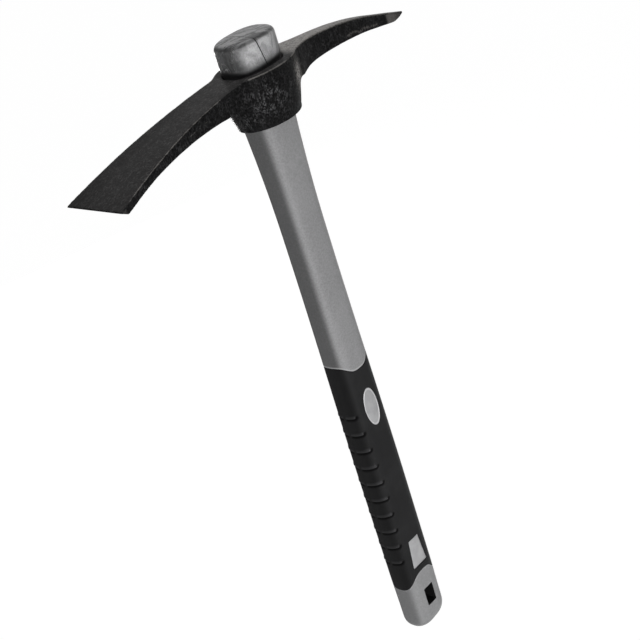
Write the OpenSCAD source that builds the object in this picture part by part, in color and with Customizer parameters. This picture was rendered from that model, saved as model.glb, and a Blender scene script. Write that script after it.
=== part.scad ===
// Hand pick mattock: a forged pick and adze head dropped over a moulded handle with a rubber grip.
// Z runs up the handle from the butt end, +X points along the pick and -X along the adze.

/* [Handle] */
// Length of the tool from the butt end to the crown of the knob
tool_l = 402; // [370:1:440]
// Width of the handle at the grip
grip_w = 30.3; // [28:0.1:33]
// Width of the slimmest part of the neck
neck_w = 27.6; // [25:0.1:30]
// Width of the butt just above its rounded end
butt_w = 29.6; // [27:0.1:31]
// Depth of the oval handle as a share of its width
depth_share = 0.755; // [0.7:0.005:0.85]
// Radius of the rounded butt end
butt_round = 11; // [6:0.5:13]
// Length of the grip that keeps its full width
grip_full_l = 77; // [40:1:110]
// Length of the slim straight part of the neck
neck_flat_l = 15; // [5:1:30]
// Length over which the neck flares out to the seat of the head
flare_l = 68; // [45:1:80]
// Height of the knob above the head
knob_h = 17.7; // [12:0.1:22]
// How far the knob stands out past the top of the seat on each side
knob_flare = 0.5; // [0.2:0.1:1.5]
// Radius of the knob's top edge
knob_round = 3.5; // [1:0.5:5]
// Rise of the knob's crowned top
knob_crown = 0.8; // [0.2:0.1:2]
// How much wider the seat is at the top of the eye than at its foot
seat_taper = 3.6; // [2:0.1:6]

/* [Grip] */
// Thickness of the rubber grip
grip_t = 2.2; // [1.5:0.1:3]
// Length of the grip along its front edge
grip_l = 167.3; // [150:0.1:190]
// How far the grip's top edge dips on the broad faces
top_dip = 6.2; // [3:0.1:12]
// How far the grip's bottom edge rises on the broad faces
low_rise = 9.5; // [3:0.1:12]
// Number of finger ribs on each side of the grip's front
rib_count = 10; // [6:1:11]
// Spacing of the finger ribs
rib_pitch = 12.2; // [9:0.1:12.8]
// Height of the finger ribs
rib_h = 0.5; // [0.3:0.1:0.8]
// Thickness of a finger rib along the handle
rib_w = 3.2; // [2:0.1:5]
// Distance from the grip's bottom edge to its lowest rib
rib_start = 21.7; // [12:0.1:26]
// How far the middle ribs reach round from the front
rib_wrap = 7.2; // [5:0.1:9]
// How much shorter the end ribs are than the middle ones
rib_bow = 3.2; // [0:0.1:4]

/* [Badge and window] */
// Width of the oval badge plate
badge_w = 11.2; // [8:0.1:14]
// Height of the oval badge plate
badge_h = 25.6; // [18:0.1:30]
// Thickness of the oval badge plate
badge_t = 0.8; // [0.5:0.1:1.4]
// Distance from the dip of the grip's top edge to the middle of the badge
badge_drop = 27.2; // [20:0.1:35]
// Height of the window in the grip
window_h = 20.8; // [14:0.1:26]
// Width of the window at its top
window_top_w = 9.4; // [6:0.1:12]
// Width of the window at its foot
window_foot_w = 13.2; // [8:0.1:15]
// Strip of grip left between the window and the grip's bottom edge
window_gap = 4; // [2:0.1:8]

/* [Butt cap and core] */
// Width of the hanging hole
hole_w = 8.2; // [5:0.1:11]
// Height of the hanging hole
hole_h = 13.4; // [8:0.1:16]
// Height of the hanging hole's lower edge above the butt end
hole_low_z = 15.3; // [13:0.1:20]
// Wall between the hanging hole and the end of the handle
cap_floor = 3.2; // [2:0.1:6]
// How far the cap's lip reaches up round the handle at the front
cap_lip = 1.3; // [1:0.1:6]
// Diameter of the fibreglass core
core_d = 13; // [10:0.5:15]
// Cover left above the core inside the knob
core_cover = 14; // [8:1:22]

/* [Head] */
// Depth of the eye, from the collar's foot to the top of the head
head_h = 31.3; // [26:0.1:36]
// Wall of the collar at its foot
collar_wall = 4; // [2.5:0.1:6]
// Wall of the boss round the top of the eye, along the head
boss_wall = 7.2; // [5:0.1:10]
// Depth of the oval boss as a share of its width
boss_depth_share = 0.785; // [0.77:0.005:0.88]
// How far the boss lies off the eye's axis towards the pick
boss_shift = 1.2; // [0:0.1:1.8]
// Radius of the collar's outer bottom edge
collar_round = 2.4; // [0.5:0.1:3]
// Depth of the countersink at the top of the eye
mouth_depth = 2; // [1:0.1:3]
// Width of the countersink at the top of the eye
mouth_w = 1.2; // [0.5:0.1:2]
// How much fuller the underside of each arm is halfway along it
arm_belly = 1.2; // [0:0.1:2]

/* [Adze] */
// Reach of the adze from the handle's axis to its cutting edge
adze_l = 126; // [110:1:145]
// How far the cutting edge lies below the top of the head
adze_drop = 21.3; // [12:0.1:30]
// Width of the cutting edge
adze_edge_w = 43.4; // [34:0.1:55]
// Width of the waist beside the eye
adze_waist_w = 25.2; // [20:0.1:30]
// Distance from the handle's axis to where the adze starts to widen
adze_waist_l = 53; // [40:1:70]
// Thickness of the adze at its root
adze_root_t = 13.4; // [10:0.1:18]
// Thickness of the blade
blade_t = 4.2; // [3:0.1:7]
// Distance from the handle's axis to where the adze is down to the blade's thickness
blade_start_l = 100; // [80:1:105]
// Length of the ground bevel under the cutting edge
bevel_l = 4.9; // [2:0.1:8]

/* [Pick] */
// Reach of the pick from the handle's axis to its tip
pick_l = 123.4; // [110:0.2:145]
// How far the tip lies below the top of the head
pick_drop = 19.6; // [12:0.1:30]
// Length of the straight end of the pick's top line
pick_straight_l = 28; // [15:1:40]
// Width of the pick at its root
pick_root_w = 13; // [10:0.1:18]
// Width of the pick where the point starts
pick_end_w = 6; // [4:0.1:9]
// Thickness of the pick at its root
pick_root_t = 14.6; // [10:0.1:18]
// Thickness of the pick where the point starts
pick_end_t = 5.6; // [4:0.1:10]
// Length of the ground point
point_l = 13; // [8:1:30]
// Width of the blunted tip
tip_w = 1.2; // [0.8:0.1:3]
// Thickness of the blunted tip
tip_t = 0.8; // [0.6:0.1:3]
// Length of the fillet that joins the pick to the boss
root_fillet_l = 20; // [10:1:30]
// How much the fillet widens the pick on each side at the boss
root_fillet_w = 3.8; // [2:0.1:7]
// How much the fillet thickens the pick at the boss
root_fillet_t = 1.2; // [0.5:0.1:5]

/* [Clearances] */
// Gap all round between the handle's seat and the eye
eye_gap = 0.3; // [0.2:0.05:0.5]
// Gap left when the head slides past the ribs
pass_gap = 0.85; // [0.5:0.05:1.5]
// Radial gap between the core and its bore
core_gap = 0.05; // [0.02:0.01:0.1]

/* [Hidden] */
// Smoothness of round shapes and of curved outlines
$fn = 144;
curve_steps = 16;
arc_steps = 6;
// Overrun of every cut
over = 5;

// Bend of each arm's top line and thickness, and of the boss's side, as powers
adze_bow_power = 2;
pick_bow_power = 2.8;
taper_power = 1.6;
point_power = 1.5;
boss_power = 1.7;
// Breadth of the waves in the grip's edges, as a power
wave_power = 1.8;
// Softness of the corner where the adze starts to widen
waist_blend = 3;

// Heights up the handle, each from the one below it
cap_seat_z = hole_low_z + hole_h + cap_floor;
grip_low_z = cap_seat_z + cap_lip;
arch_z = grip_low_z + low_rise;
window_low_z = arch_z + window_gap;
grip_full_z = grip_low_z + grip_full_l;
grip_top_z = grip_low_z + grip_l;
badge_z = grip_top_z - top_dip - badge_drop;
eye_top_z = tool_l - knob_h;
eye_foot_z = eye_top_z - head_h;
neck_high_z = eye_foot_z - flare_l;
neck_low_z = neck_high_z - neck_flat_l;
core_top_z = tool_l - core_cover;

// Half widths of the handle and of the eye that has to pass over the grip
grip_half = grip_w / 2;
neck_half = neck_w / 2;
butt_half = butt_w / 2;
eye_foot_half = grip_half + rib_h + pass_gap;
seat_foot_half = eye_foot_half - eye_gap;
seat_top_half = seat_foot_half + seat_taper / 2;
eye_top_half = seat_top_half + eye_gap;
knob_half = seat_top_half + knob_flare;
knob_edge_z = tool_l - knob_crown - knob_round;
knob_full_z = eye_top_z + knob_round;
collar_half = eye_foot_half + collar_wall;
boss_half = eye_top_half + boss_wall;

// Half widths and lengths of the arms
waist_half = adze_waist_w / 2;
edge_half = adze_edge_w / 2;
bend_share = 1 - pick_straight_l / pick_l;
point_start = pick_l - point_l;

// Blends between two values
function mix(a, b, t) = a + (b - a) * t;
function ease(t) = t * t * (3 - 2 * t);
function clamp(t) = min(1, max(0, t));
function soft_max(a, b, k) = (a + b + sqrt((a - b) * (a - b) + k * k)) / 2;
function steps(a, b, n) = [for (i = [1 : n]) mix(a, b, i / n)];

// Half width of the handle at a height
function half_at(z) =
  z < arch_z ? mix(butt_half, grip_half, ease(clamp((z - butt_round) / (arch_z - butt_round))))
  : z < neck_low_z ? mix(grip_half, neck_half, ease(clamp((z - grip_full_z) / (neck_low_z - grip_full_z))))
  : z < neck_high_z ? neck_half
  : z < eye_foot_z ? neck_half + (seat_foot_half - neck_half) * pow((z - neck_high_z) / flare_l, 2)
  : z < eye_top_z ? mix(seat_foot_half, seat_top_half, (z - eye_foot_z) / head_h)
  : mix(seat_top_half, knob_half, ease(clamp((z - eye_top_z) / (knob_full_z - eye_top_z))));

// Heights at which the handle's outline is drawn
outline_z = concat(
  steps(butt_round, arch_z, arc_steps), [grip_full_z], steps(grip_full_z, neck_low_z, curve_steps),
  steps(neck_low_z, eye_foot_z, curve_steps), [eye_top_z], steps(eye_top_z, knob_full_z, arc_steps)
);

// Half outline of the handle, drawn in from the surface by a set amount
function handle_outline(inset) = concat(
  [[0, 0]],
  [for (i = [0 : arc_steps]) [
    butt_half - inset - butt_round * (1 - sin(90 * i / arc_steps)),
    butt_round * (1 - cos(90 * i / arc_steps))
  ]],
  [for (z = outline_z) [half_at(z) - inset, z]],
  [for (i = [0 : arc_steps]) [
    knob_half - inset - knob_round * (1 - cos(90 * i / arc_steps)),
    knob_edge_z + knob_round * sin(90 * i / arc_steps)
  ]],
  [[(knob_half - knob_round - inset) / 2, tool_l - knob_crown / 4]],
  [[0, tool_l]]
);

// Solid of the whole handle in four quarters, drawn in from the surface by a set amount
module handle_form(inset = 0) {
  scale([1, depth_share, 1])
    for (turn = [0 : 90 : 270])
      rotate([0, 0, turn])
        rotate_extrude(angle = 90)
          polygon(handle_outline(inset));
}

// Extrudes an outline of the XZ plane right through the tool along Y
module through_y() {
  translate([0, adze_edge_w, 0])
    rotate([90, 0, 0])
      linear_extrude(2 * adze_edge_w)
        children();
}

// Rise of the grip's edges across the broad face, from 0 at the front to 1 in the middle
function wave_share(x) = 1 - pow((1 - cos(180 * x / grip_half)) / 2, wave_power);
wave_x = concat([-grip_half], steps(-grip_half, grip_half, 2 * curve_steps));

// Everything below the grip's top edge
module below_grip_top() {
  side_x = grip_half + over;
  through_y()
    polygon(concat(
      [[-side_x, -over], [side_x, -over], [side_x, grip_top_z]],
      [for (x = wave_x) [-x, grip_top_z - top_dip * wave_share(x)]],
      [[-side_x, grip_top_z]]
    ));
}

// Everything below the grip's bottom edge
module below_grip_foot() {
  side_x = grip_half + over;
  through_y()
    polygon(concat(
      [[-side_x, -over], [side_x, -over], [side_x, grip_low_z]],
      [for (x = wave_x) [-x, grip_low_z + low_rise * wave_share(x)]],
      [[-side_x, grip_low_z]]
    ));
}

// The window's outline, right through the handle
module window_through() {
  top_z = window_low_z + window_h;
  through_y()
    polygon([
      [-window_foot_w / 2, window_low_z], [window_foot_w / 2, window_low_z],
      [window_top_w / 2, top_z], [-window_top_w / 2, top_z]
    ]);
}

// The badge's oval outline, right through the handle
module badge_through() {
  translate([0, 0, badge_z])
    through_y()
      polygon([for (i = [0 : 4 * curve_steps - 1]) [
        badge_w / 2 * cos(90 * i / curve_steps), badge_h / 2 * sin(90 * i / curve_steps)
      ]]);
}

// Core bore or core rod, at a set diameter
module core_form(d) {
  translate([0, 0, cap_seat_z])
    cylinder(d = d, h = core_top_z - cap_seat_z);
}

// Fibreglass core
module core_rod() {
  color("#d3c9a4")
    core_form(core_d);
}

// Grey moulding from the knob to the end of the grip, with pads that show through the grip
module handle_jacket() {
  color("#8d8f92")
    difference() {
      handle_form();
      difference() {
        below_grip_top();
        handle_form(grip_t);
        window_through();
        intersection() {
          badge_through();
          handle_form(badge_t);
        }
      }
      translate([-grip_w, -grip_w, -over])
        cube([2 * grip_w, 2 * grip_w, cap_seat_z + over]);
      core_form(core_d + 2 * core_gap);
    }
}

// One finger rib: a ring that is flush at the front line and stands out towards the broad faces
module finger_rib(i) {
  z = grip_low_z + rib_start + i * rib_pitch;
  middle = (rib_count - 1) / 2;
  wrap = rib_wrap - rib_bow * pow((i - middle) / middle, 2);
  crest = half_at(z);
  base = crest - grip_t / 2;
  crest_share = depth_share + rib_h / crest;
  intersection() {
    scale([1, crest_share, 1])
      rotate_extrude()
        polygon([[base, z - rib_w / 2], [crest, z - rib_w / 4], [crest, z], [base, z + rib_w]]);
    translate([-grip_w, -grip_w, z - rib_pitch / 2])
      cube([grip_w - crest + wrap, 2 * grip_w, rib_pitch]);
  }
}

// Rubber grip with its finger ribs
module grip_sleeve() {
  color("#1c1c1e") {
    difference() {
      intersection() {
        handle_form();
        below_grip_top();
      }
      below_grip_foot();
      handle_form(grip_t);
      window_through();
      badge_through();
    }
    for (i = [0 : rib_count - 1])
      finger_rib(i);
  }
}

// Grey butt cap with its hanging hole
module butt_cap() {
  color("#a6a8ab")
    difference() {
      intersection() {
        handle_form();
        below_grip_foot();
      }
      intersection() {
        handle_form(grip_t);
        translate([-grip_w, -grip_w, cap_seat_z])
          cube([2 * grip_w, 2 * grip_w, grip_l]);
      }
      translate([-hole_w / 2, -grip_w, hole_low_z])
        cube([hole_w, 2 * grip_w, hole_h]);
    }
}

// Bare oval badge plate on one broad face
module badge_plate(side) {
  intersection() {
    difference() {
      intersection() {
        handle_form();
        badge_through();
      }
      handle_form(badge_t);
    }
    translate([-grip_w, side > 0 ? 0 : -grip_w, badge_z - badge_h])
      cube([2 * grip_w, grip_w, 2 * badge_h]);
  }
}

module badge_near() {
  color("#d6d7d9")
    badge_plate(-1);
}

module badge_far() {
  color("#d6d7d9")
    badge_plate(1);
}

// Bow of the pick's top line, curved first and then straight to the tip
function pick_bow(reach_share) =
  pow(min(reach_share, bend_share), pick_bow_power)
  + pick_bow_power * pow(bend_share, pick_bow_power - 1) * max(reach_share - bend_share, 0);

// Top line of the head
function head_top_at(x) =
  x < 0 ? eye_top_z - adze_drop * pow(-x / adze_l, adze_bow_power)
  : eye_top_z - pick_drop * pick_bow(x / pick_l) / pick_bow(1);

// How far out on the ground point, from 0 where it starts to 1 at the tip
function point_share(x) = pow(clamp((x - point_start) / point_l), point_power);

// How much of the root fillet is left, from 1 at the boss
function fillet_share(x) = pow(clamp(1 - (x - boss_half) / root_fillet_l), 2);

// How far out along the pick's straight taper, from 0 at the boss to 1 where the point starts
function taper_share(x) = clamp((x - boss_half) / (point_start - boss_half));

// Half width of the pick
function pick_half_at(x) =
  mix(mix(pick_root_w, pick_end_w, taper_share(x)), tip_w, point_share(x)) / 2
  + root_fillet_w * fillet_share(x);

// Thickness of the pick
function pick_thick_at(x) =
  mix(mix(pick_root_t, pick_end_t, taper_share(x)), tip_t, point_share(x))
  + root_fillet_t * fillet_share(x);

// Half width of the adze at a distance from the axis
function adze_half_at(d) =
  soft_max(waist_half, mix(waist_half, edge_half, (d - adze_waist_l) / (adze_l - adze_waist_l)), waist_blend)
  - soft_max(waist_half, edge_half, waist_blend) + edge_half;

// Thickness of the adze at a distance from the axis
function adze_thick_at(d) =
  mix(blade_t, adze_root_t, pow(clamp(1 - (d - boss_half) / (blade_start_l - boss_half)), taper_power));

// How far the belly under an arm hangs at a distance from the axis
function belly_at(d, reach) = arm_belly * sin(180 * clamp((d - boss_half) / (reach - boss_half)));

adze_d = concat([adze_l - bevel_l], steps(adze_l - bevel_l, boss_half, curve_steps));
pick_x = concat([boss_half], steps(boss_half, boss_half + root_fillet_l, arc_steps),
  steps(boss_half + root_fillet_l, point_start, curve_steps), steps(point_start, pick_l, arc_steps));

// Both arms seen from above
module arms_plan() {
  near_side = concat(
    [[-adze_l, -edge_half]],
    [for (d = adze_d) [-d, -adze_half_at(d)]],
    [for (x = pick_x) [x, -pick_half_at(x)]]
  );
  count = len(near_side);
  translate([0, 0, eye_foot_z - adze_l])
    linear_extrude(2 * adze_l)
      polygon(concat(near_side, [for (i = [1 : count]) [near_side[count - i][0], -near_side[count - i][1]]]));
}

// Everything above the arms' underside
module above_underside() {
  through_y()
    polygon(concat(
      [[-adze_l, eye_top_z + over], [-adze_l, head_top_at(-adze_l)]],
      [for (d = adze_d) [-d, head_top_at(-d) - adze_thick_at(d) - belly_at(d, adze_l)]],
      [for (x = pick_x) [x, head_top_at(x) - pick_thick_at(x) - belly_at(x, pick_l)]],
      [[pick_l, eye_top_z + over]]
    ));
}

// Everything below the head's top line
module below_head_top() {
  through_y()
    polygon(concat(
      [[-adze_l - over, eye_foot_z - adze_l], [pick_l + over, eye_foot_z - adze_l]],
      [[pick_l + over, head_top_at(pick_l)]],
      [for (x = steps(pick_l, 0, curve_steps)) [x, head_top_at(x)]],
      [for (x = steps(0, -adze_l, curve_steps)) [x, head_top_at(x)]],
      [[-adze_l - over, head_top_at(-adze_l)]]
    ));
}

// Oval boss and collar round the eye
module boss() {
  translate([boss_shift, 0, 0])
    scale([1, boss_depth_share, 1])
      rotate_extrude()
        polygon(concat(
          [[0, eye_foot_z]],
          [for (i = [0 : arc_steps]) [
            collar_half - collar_round * (1 - sin(90 * i / arc_steps)),
            eye_foot_z + collar_round * (1 - cos(90 * i / arc_steps))
          ]],
          [for (t = steps(0, 1, arc_steps)) [
            mix(boss_half, collar_half, pow(1 - t, boss_power)), mix(eye_foot_z + collar_round, eye_top_z, t)
          ]],
          [[boss_half, eye_top_z + over], [0, eye_top_z + over]]
        ));
}

// Tapered oval eye with a countersunk top
module eye() {
  slope = seat_taper / 2 / head_h;
  mouth_z = eye_top_z - mouth_depth;
  mouth_slope = mouth_w / mouth_depth;
  scale([1, depth_share, 1])
    rotate_extrude()
      polygon([
        [0, eye_foot_z - over], [eye_foot_half - slope * over, eye_foot_z - over],
        [eye_top_half - slope * mouth_depth, mouth_z],
        [eye_top_half - slope * mouth_depth + mouth_slope * (mouth_depth + over), eye_top_z + over],
        [0, eye_top_z + over]
      ]);
}

// Forged head: adze, boss, collar and pick in one piece
module pick_head() {
  color("#29292c")
    difference() {
      intersection() {
        union() {
          intersection() {
            arms_plan();
            above_underside();
          }
          boss();
        }
        below_head_top();
      }
      eye();
    }
}

pick_head();
handle_jacket();
core_rod();
grip_sleeve();
butt_cap();
badge_near();
badge_far();
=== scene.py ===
"""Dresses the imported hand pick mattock: forged head, moulded handle, rubber grip and studio."""
import math
from functools import partialmethod

import bpy
import numpy as np
from mathutils import Matrix, Vector


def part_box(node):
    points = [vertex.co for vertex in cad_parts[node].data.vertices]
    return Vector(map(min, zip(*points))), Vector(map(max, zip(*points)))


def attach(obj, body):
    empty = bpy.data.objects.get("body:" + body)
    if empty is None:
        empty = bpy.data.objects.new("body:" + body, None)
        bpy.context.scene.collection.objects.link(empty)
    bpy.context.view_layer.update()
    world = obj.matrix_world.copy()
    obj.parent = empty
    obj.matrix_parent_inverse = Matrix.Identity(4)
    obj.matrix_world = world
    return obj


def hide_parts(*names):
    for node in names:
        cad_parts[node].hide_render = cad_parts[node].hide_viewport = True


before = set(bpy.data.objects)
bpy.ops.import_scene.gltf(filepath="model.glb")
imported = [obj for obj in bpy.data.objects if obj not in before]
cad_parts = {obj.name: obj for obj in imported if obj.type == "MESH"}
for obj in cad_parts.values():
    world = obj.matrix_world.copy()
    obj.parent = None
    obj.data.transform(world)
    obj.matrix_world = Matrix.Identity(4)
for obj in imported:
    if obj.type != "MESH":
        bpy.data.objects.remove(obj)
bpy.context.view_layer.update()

bl_info = {
    "name": "Hand Pick Mattock",
    "version": (1, 0, 0),
    "blender": (4, 5, 0),
    "location": "3D View > Sidebar > Mattock",
    "description": "Builds the visible pieces of a hand pick mattock over its solid model",
    "category": "Add Mesh",
}


# Settings

def length(name, description, default):
    """A size in metres."""
    return bpy.props.FloatProperty(
        name=name, description=description, default=default, unit="LENGTH", precision=4)


def share(name, description, default):
    """A plain ratio."""
    return bpy.props.FloatProperty(
        name=name, description=description, default=default, min=0.0, subtype="FACTOR")


def colour(name, description, default):
    """A linear colour."""
    return bpy.props.FloatVectorProperty(
        name=name, description=description, default=default, size=3, min=0.0, max=1.0, subtype="COLOR")


class MattockHandleSizes(bpy.types.PropertyGroup):
    """Sizes of the handle, from the butt end up."""
    tool: length("Tool length", "From the butt end to the crown of the knob", 0.402)
    grip_width: length("Grip width", "Width of the handle at the grip", 0.0303)
    neck_width: length("Neck width", "Width of the slimmest part of the neck", 0.0276)
    butt_width: length("Butt width", "Width just above the rounded end", 0.0296)
    depth: share("Depth share", "Depth of the oval as a share of its width", 0.755)
    power: share("Section power", "Power of the oval's curve: 2 is an ellipse and more is squarer", 2.5)
    fit: share("Section fit", "Width of the squared oval against the plain ellipse that bounds it", 0.955)
    butt_round: length("Butt radius", "Radius of the rounded end", 0.011)
    cap_seat: length("Cap seat", "Height where the moulded handle ends inside the cap", 0.0319)
    grip_low: length("Grip foot", "Height of the grip's bottom edge at the front", 0.0332)
    low_rise: length("Foot rise", "How far the bottom edge rises on the broad faces", 0.0095)
    grip_full: length("Full width height", "Height where the grip starts to narrow", 0.1102)
    grip_top: length("Grip top", "Height of the grip's top edge at the front", 0.2005)
    top_dip: length("Top dip", "How far the top edge dips on the broad faces", 0.0062)
    neck_low: length("Neck foot", "Height where the slim neck starts", 0.270)
    neck_high: length("Neck top", "Height where the neck starts to flare", 0.285)
    seat_foot: length("Seat foot", "Height of the foot of the head's seat", 0.353)
    seat_top: length("Seat top", "Height of the top of the head's seat", 0.3843)
    seat_foot_width: length("Seat foot width", "Width of the seat at its foot", 0.0324)
    seat_top_width: length("Seat top width", "Width of the seat at its top", 0.036)
    knob_width: length("Knob width", "Width of the knob above the head", 0.037)
    knob_round: length("Knob radius", "Radius of the knob's top edge", 0.0035)
    knob_crown: length("Knob crown", "Rise of the knob's top", 0.0008)
    grip_wall: length("Grip wall", "Thickness of the rubber grip", 0.0022)
    wave_power: share("Edge wave power", "Breadth of the waves in the grip's edges, as a power", 1.8)
    front_round: share("Front rounding", "How much tighter the butt is rounded at its front", 0.3)


class MattockGripSizes(bpy.types.PropertyGroup):
    """Sizes of what sits on the grip."""
    rib_count: bpy.props.IntProperty(name="Ribs", description="Number of finger ribs", default=10, min=1)
    rib_pitch: length("Rib pitch", "Spacing of the finger ribs", 0.0122)
    rib_first: length("First rib", "Height of the lowest rib", 0.0549)
    rib_height: length("Rib height", "How far a rib stands out", 0.0003)
    rib_groove: length("Rib groove", "Depth of the groove under a rib", 0.00045)
    rib_width: length("Rib width", "Thickness of a rib along the handle", 0.0032)
    rib_wrap: length("Rib wrap", "How far the middle ribs reach round from the front", 0.0067)
    rib_bow: length("Rib bow", "How much shorter the end ribs are", 0.0032)
    badge_width: length("Badge width", "Width of the oval badge plate", 0.0112)
    badge_height: length("Badge height", "Height of the oval badge plate", 0.0256)
    badge_at: length("Badge place", "Height of the middle of the badge", 0.1671)
    window_low: length("Window foot", "Height of the window's foot", 0.0467)
    window_height: length("Window height", "Height of the window", 0.0208)
    window_top_width: length("Window top width", "Width of the window at its top", 0.0094)
    window_foot_width: length("Window foot width", "Width of the window at its foot", 0.0132)
    hole_width: length("Hole width", "Width of the hanging hole", 0.0082)
    hole_height: length("Hole height", "Height of the hanging hole", 0.0134)
    hole_low: length("Hole foot", "Height of the hanging hole's lower edge", 0.0153)


class MattockHeadSizes(bpy.types.PropertyGroup):
    """Sizes of the forged head."""
    reach: length("Adze reach", "From the handle's axis to the adze's cutting edge", 0.126)
    pick_reach: length("Pick reach", "From the handle's axis to the pick's tip", 0.1234)
    adze_drop: length("Adze drop", "How far the cutting edge lies below the top of the head", 0.0213)
    pick_drop: length("Pick drop", "How far the tip lies below the top of the head", 0.0196)
    pick_straight: length("Pick end", "Length of the straight end of the pick's top line", 0.028)
    edge_width: length("Cutting edge", "Width of the adze's cutting edge", 0.0434)
    waist_width: length("Adze waist", "Width of the adze beside the eye", 0.0252)
    waist_reach: length("Waist reach", "Distance from the axis to where the adze widens", 0.053)
    root_thick: length("Adze root", "Thickness of the adze at its root", 0.0134)
    blade_thick: length("Blade", "Thickness of the blade", 0.0042)
    blade_reach: length("Blade start", "Distance from the axis to where the thin blade starts", 0.100)
    bevel: length("Bevel", "Length of the ground bevel", 0.0049)
    pick_root_width: length("Pick root width", "Width of the pick at its root", 0.013)
    pick_end_width: length("Pick end width", "Width of the pick where its point starts", 0.006)
    pick_root_thick: length("Pick root thickness", "Thickness of the pick at its root", 0.0146)
    pick_end_thick: length("Pick end thickness", "Thickness of the pick where its point starts", 0.0056)
    point: length("Point", "Length of the ground point", 0.013)
    tip_width: length("Tip width", "Width of the blunted tip", 0.0012)
    tip_thick: length("Tip thickness", "Thickness of the blunted tip", 0.0008)
    fillet: length("Root fillet", "Length of the fillet between pick and boss", 0.020)
    fillet_width: length("Fillet width", "How much the fillet widens each side of the pick's root", 0.0038)
    fillet_thick: length("Fillet thickness", "How much the fillet thickens the pick's root", 0.0012)
    collar_width: length("Collar width", "Width of the collar at its foot", 0.0410)
    boss_width: length("Boss width", "Width of the boss at the top of the eye", 0.051)
    boss_depth: share("Boss depth share", "Depth of the boss as a share of its width", 0.785)
    boss_shift: length("Boss shift", "How far the boss lies towards the pick", 0.0012)
    collar_round: length("Collar radius", "Radius of the collar's bottom edge", 0.0024)
    eye_gap: length("Eye gap", "Gap all round between eye and seat", 0.0003)
    mouth_depth: length("Mouth depth", "Depth of the countersink at the top of the eye", 0.002)
    mouth_width: length("Mouth width", "Width of the countersink at the top of the eye", 0.0012)
    belly: length("Belly", "How much fuller the underside of the arms is halfway along them", 0.0012)
    edge_round: length("Edge radius", "Softness of the forged edges", 0.0005)
    cell: length("Mesh size", "Spacing of the head's mesh", 0.0006)


class MattockColours(bpy.types.PropertyGroup):
    """Colours of the finishes."""
    coat: colour("Black coat", "Coating of the forged head", (0.0037, 0.0037, 0.0038))
    bare_steel: colour("Bare steel", "Steel where the coating is worn or ground off", (0.30, 0.285, 0.27))
    handle_grey: colour("Handle grey", "Moulded plastic of the handle", (0.205, 0.205, 0.208))
    cap_grey: colour("Cap grey", "Grainy plastic of the butt cap", (0.228, 0.229, 0.232))
    window_grey: colour("Window grey", "Pads that show through the grip", (0.31, 0.31, 0.316))
    rubber: colour("Rubber", "Black rubber of the grip", (0.0158, 0.0158, 0.0163))
    badge: colour("Badge", "Satin silver of the badge plates", (0.325, 0.325, 0.331))
    fibreglass: colour("Fibreglass", "Core rod", (0.62, 0.55, 0.36))


# Curves of the handle

def ease(t):
    """A smooth step from 0 to 1."""
    t = np.clip(t, 0.0, 1.0)
    return t * t * (3.0 - 2.0 * t)


def mix(a, b, t):
    """From a at 0 to b at 1."""
    return a + (b - a) * t


def soft_max(a, b, k):
    """The larger of two fields, rounded where they meet."""
    return (a + b + np.sqrt((a - b) ** 2 + k * k)) / 2.0


def soft_min(a, b, k):
    """The smaller of two fields, rounded where they meet."""
    return (a + b - np.sqrt((a - b) ** 2 + k * k)) / 2.0


def half_width(z, h):
    """Half width of the handle at a height."""
    z = np.asarray(z, float)
    grip, neck, butt = h.grip_width / 2, h.neck_width / 2, h.butt_width / 2
    foot, top, knob = h.seat_foot_width / 2, h.seat_top_width / 2, h.knob_width / 2
    arch = h.grip_low + h.low_rise
    low = mix(butt, grip, ease((z - h.butt_round) / (arch - h.butt_round)))
    mid = mix(grip, neck, ease((z - h.grip_full) / (h.neck_low - h.grip_full)))
    flare = mix(neck, foot, np.clip((z - h.neck_high) / (h.seat_foot - h.neck_high), 0, 1) ** 2)
    seat = mix(foot, top, (z - h.seat_foot) / (h.seat_top - h.seat_foot))
    head = mix(top, knob, ease((z - h.seat_top) / h.knob_round))
    below = [z < arch, z < h.neck_low, z < h.seat_foot, z < h.seat_top]
    return np.select(below, [low, mid, flare, seat], head)


def section(angle, h):
    """Reach of the squared oval against the ellipse of the same width and depth."""
    c, s = np.abs(np.cos(angle)), np.abs(np.sin(angle))
    return h.fit * (c ** h.power + s ** h.power) ** (-1 / h.power)


def edge_wave(angle, h):
    """0 at the front and back of the handle, 1 in the middle of its broad faces."""
    across = section(angle, h) * np.cos(angle)
    return 1 - ((1 - np.cos(math.pi * across)) / 2) ** h.wave_power


COLUMNS = 176
ANGLES = np.linspace(0, 2 * math.pi, COLUMNS, endpoint=False)


def ring(z, inset, h):
    """One oval section of the handle, drawn in by a set amount; the height may change round it."""
    z = np.broadcast_to(np.asarray(z, float), ANGLES.shape)
    a = (half_width(z, h) - inset) * section(ANGLES, h)
    return np.stack([a * np.cos(ANGLES), h.depth * a * np.sin(ANGLES), z], 1)


def face_depth(x, z, h):
    """Distance of the broad face from the handle's middle plane."""
    a = half_width(z, h) * h.fit
    return h.depth * a * np.maximum(1 - (np.abs(x) / a) ** h.power, 0) ** (1 / h.power)


# Meshes and objects

SHARP_ANGLE = 40.0


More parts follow.
